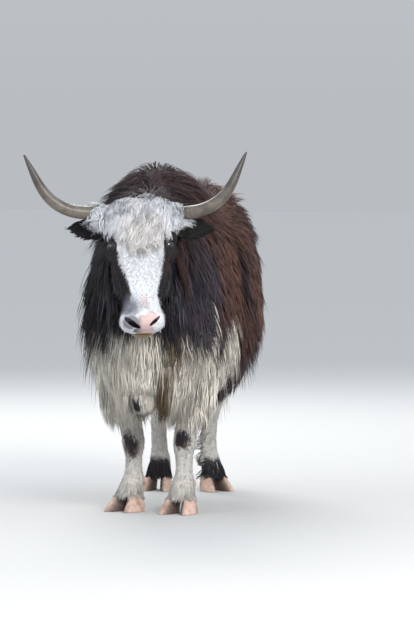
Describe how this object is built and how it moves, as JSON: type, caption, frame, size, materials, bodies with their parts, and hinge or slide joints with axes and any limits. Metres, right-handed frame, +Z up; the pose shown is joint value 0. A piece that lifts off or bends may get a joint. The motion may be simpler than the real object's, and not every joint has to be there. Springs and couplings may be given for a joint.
{
  "type": "yak",
  "caption": "Standing domestic yak cow, life size: long horns, curly forelock, shoulder hump, skirts of long hair and a bushy tail.",
  "frame": {"origin": "on the floor, under the middle of the model's overall box", "axes": "-Y is the way that the yak faces, +X is its own left side, +Z is up"},
  "size_m": [0.7218, 1.7059, 1.2365],
  "materials": {
    "coat_white": "long soft hair, creamy white with tan and grey",
    "coat_dark": "long soft hair, black with a bluish sheen",
    "coat_brown": "soft hair, reddish brown",
    "horn": "smooth horn, grey-beige with darker tips",
    "hoof": "worn horn of the claws, pinkish tan",
    "eye": "wet and glossy, very dark brown",
    "bare_skin": "moist bare skin of the muzzle, half grey and half pink"
  },
  "bodies": {
    "root": {"head": "coat_white", "neck": "coat_dark", "torso": "coat_brown", "tail": "coat_white", "ear_left": "coat_dark", "ear_right": "coat_dark", "eye_left": "eye", "eye_right": "eye", "horn_left": "horn", "horn_right": "horn", "foreleg_upper_left": "coat_white", "foreleg_upper_right": "coat_white", "foreleg_lower_left": "coat_white", "foreleg_lower_right": "coat_white", "hindleg_upper_left": "coat_white", "hindleg_upper_right": "coat_white", "hindleg_lower_left": "coat_white", "hindleg_lower_right": "coat_white", "hoof_fore_left_inner": "hoof", "hoof_fore_left_outer": "hoof", "hoof_fore_right_inner": "hoof", "hoof_fore_right_outer": "hoof", "hoof_hind_left_inner": "hoof", "hoof_hind_left_outer": "hoof", "hoof_hind_right_inner": "hoof", "hoof_hind_right_outer": "hoof"}
  },
  "joints": []
}
